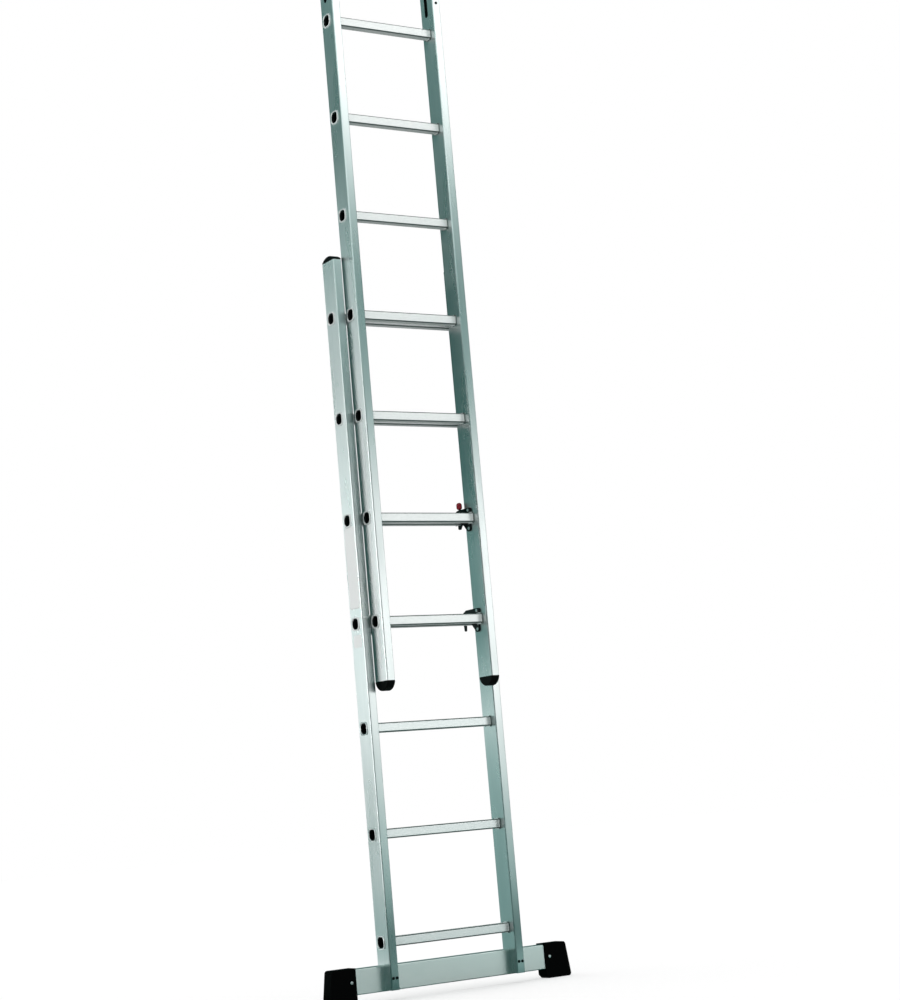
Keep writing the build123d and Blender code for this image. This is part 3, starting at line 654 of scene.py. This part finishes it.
def hide_all_but_light(thing, for_metal_only):
    """Leaves a stage piece's light and hides the piece: the camera and glass look through it, it
    throws no shadow, and where for_metal_only is true matt surfaces don't see it either."""
    thing.visible_camera = False
    thing.visible_transmission = False
    thing.visible_shadow = False
    thing.visible_diffuse = not for_metal_only


def tone_glow(thing, tone):
    """Puts a tone on each point of a stage piece and gives the piece a material that glows with it.
    Diffuse rays, which light the matt surfaces, meet the even MATT_LIGHT in its place."""
    colours = thing.data.attributes.new("tone", "FLOAT_COLOR", "POINT")
    colours.data.foreach_set("color", dome_colour(tone).ravel())
    finish, tree = new_finish(thing.name)
    painted = add(tree, "ShaderNodeAttribute", attribute_name="tone").outputs["Color"]
    for_matt = add(tree, "ShaderNodeLightPath").outputs["Is Diffuse Ray"]
    light = add(tree, "ShaderNodeMix", {"Factor": for_matt, 6: painted, 7: (MATT_LIGHT,) * 3 + (1,)},
                data_type="RGBA")
    glow = add(tree, "ShaderNodeEmission", {"Color": light.outputs[2], "Strength": 1.0})
    finish.cycles.emission_sampling = "NONE"
    thing.data.materials.append(finish)
    return tree, glow.outputs[0]


print("matt surfaces see", MATT_LIGHT, "all round")

# %% The shell
SHELL_RADIUS = 400.0
SHELL_MIDDLE_Z = 0.15
SHELL_FLOOR_Z = 0.004
AZIMUTH_STEP = 2.0
UPPER_ELEVATIONS = np.concatenate([np.arange(0, 40, 0.5), np.arange(40, 91, 5.0)])
LOWER_ELEVATIONS = -np.concatenate([np.arange(88, 20, -4.0), np.arange(20, 0.3, -0.5), [0.3, 0]])


def studio_shell(name, elevations, for_metal_only):
    """Part of the shell. A point lies in direction (azimuth, elevation) from a middle just above the
    floor, at SHELL_RADIUS or where that direction meets the floor, whichever is nearer. Its faces
    point inwards, to the ladder."""
    azimuths = np.radians(np.arange(-180, 180, AZIMUTH_STEP))
    e, a = np.meshgrid(np.radians(elevations), azimuths, indexing="ij")
    to_floor = (SHELL_MIDDLE_Z - SHELL_FLOOR_Z) / np.maximum(-np.sin(e), 1e-6)
    reach = np.minimum(SHELL_RADIUS, np.where(e < 0, to_floor, SHELL_RADIUS))
    points = np.stack([np.cos(e) * np.cos(a), np.cos(e) * np.sin(a), np.sin(e)], -1) * reach[..., None]
    shell = add_grid(name, points[:, ::-1] + [0, 0, SHELL_MIDDLE_Z], wrap_columns=True)
    tree, glow = tone_glow(shell, dome_tone(np.degrees(a), np.degrees(e))[:, ::-1])
    add(tree, "ShaderNodeOutputMaterial", {"Surface": glow})
    hide_all_but_light(shell, for_metal_only)
    return shell


upper_shell = studio_shell("studio_shell", UPPER_ELEVATIONS, for_metal_only=False)
floor_shell = studio_shell("studio_floor_tones", LOWER_ELEVATIONS, for_metal_only=True)
print("shell faces:", len(upper_shell.data.polygons) + len(floor_shell.data.polygons))

# %% [markdown]
# ## A flag between the stiles and the bright side
#
# A flag is a sheet that keeps a lamp off one part of the subject. The inner faces of the right stiles
# point the same way as the outer faces of the left ones, yet they are darker on the real ladder. A
# darker soft box would darken both, so an upright sheet stands between the stiles and behind the
# rungs. A real one would be in the way, and this one runs through the bar, so it is no more than a
# trick: it is seen only in metal, and only from the right. Its tones were set from measured
# differences, after a first answer of the same program.

# %% The flag
FLAG_X = -0.12
FLAG_LOW, FLAG_HIGH = 0.02, 2.9
FLAG_NEAR_Y, FLAG_FAR_Y = 0.045, 0.9
FLAG_TONES = ((0.0, 0.38), (0.45, 0.47), (0.7, 0.68), (0.82, 1.1), (0.88, 0.35), (1.05, 0.32),
              (1.2, 0.34), (1.45, 0.16), (1.9, 0.09), (2.3, 0.11), (2.6, 0.18), (2.9, 0.2))


def grey_flag():
    """Upright sheet at FLAG_X. Its tone at each height is read off straight lines between
    FLAG_TONES, pairs of height and tone. Its faces point to +X, and from behind it is clear."""
    z, y = np.meshgrid(np.linspace(FLAG_LOW, FLAG_HIGH, 25), np.linspace(FLAG_NEAR_Y, FLAG_FAR_Y, 9),
                       indexing="ij")
    flag = add_grid("grey_flag", np.stack([np.full_like(y, FLAG_X), y, z], -1), smooth=False)
    tree, glow = tone_glow(flag, np.interp(z, *zip(*FLAG_TONES)))
    clear = add(tree, "ShaderNodeBsdfTransparent")
    behind = add(tree, "ShaderNodeNewGeometry").outputs["Backfacing"]
    sheet = add(tree, "ShaderNodeMixShader", {0: behind, 1: glow, 2: clear.outputs[0]})
    add(tree, "ShaderNodeOutputMaterial", {"Surface": sheet.outputs[0]})
    hide_all_but_light(flag, for_metal_only=True)
    return flag


flag = grey_flag()
print("flag faces towards", tuple(flag.data.polygons[0].normal))

# %% [markdown]
# ## Floor and background
#
# The floor is a plain pale sheet. Its matt part takes the ladder's shadow, and a glow that only the
# camera and mirror-like rays see lifts it to the white of the background, so no extra lamp is
# needed to make it white. The world behind it is white at a strength of 1. Neither reaches the
# metal, which sees the shell in front of them.

# %% Floor and world
FLOOR_HALF = 24.0
FLOOR_GREY = "#bababa"
FLOOR_GLOW = 0.50


def white_floor():
    """Square floor, cut in a grid of 8 by 8 so that its shading is even."""
    across = np.linspace(-FLOOR_HALF, FLOOR_HALF, 9)
    y, x = np.meshgrid(across, across, indexing="ij")
    floor = add_grid("white_floor", np.stack([x, y, np.zeros_like(x)], -1), smooth=False)
    finish, tree = new_finish("matt_white_floor_paint")
    matt = add(tree, "ShaderNodeBsdfDiffuse", {"Color": linear(FLOOR_GREY)})
    glow = add(tree, "ShaderNodeEmission", {"Color": (1, 1, 1, 1), "Strength": FLOOR_GLOW})
    lifted = add(tree, "ShaderNodeAddShader", {0: matt.outputs[0], 1: glow.outputs[0]})
    path = add(tree, "ShaderNodeLightPath").outputs
    mirror = add(tree, "ShaderNodeMath", {0: path["Is Glossy Ray"], 1: path["Is Transmission Ray"]},
                 operation="MAXIMUM")
    seen = add(tree, "ShaderNodeMath", {0: path["Is Camera Ray"], 1: mirror.outputs[0]},
               operation="MAXIMUM")
    mix = add(tree, "ShaderNodeMixShader", {0: seen.outputs[0], 1: matt.outputs[0], 2: lifted.outputs[0]})
    add(tree, "ShaderNodeOutputMaterial", {"Surface": mix.outputs[0]})
    floor.data.materials.append(finish)
    return floor


world = bpy.data.worlds.new("white_studio")
bpy.context.scene.world = world
world.use_nodes = True
world.node_tree.nodes.clear()
background = add(world.node_tree, "ShaderNodeBackground", {"Color": (1, 1, 1, 1), "Strength": 1.0})
add(world.node_tree, "ShaderNodeOutputWorld", {"Surface": background.outputs[0]})
white_floor()
print("floor is", 2 * FLOOR_HALF, "m across")
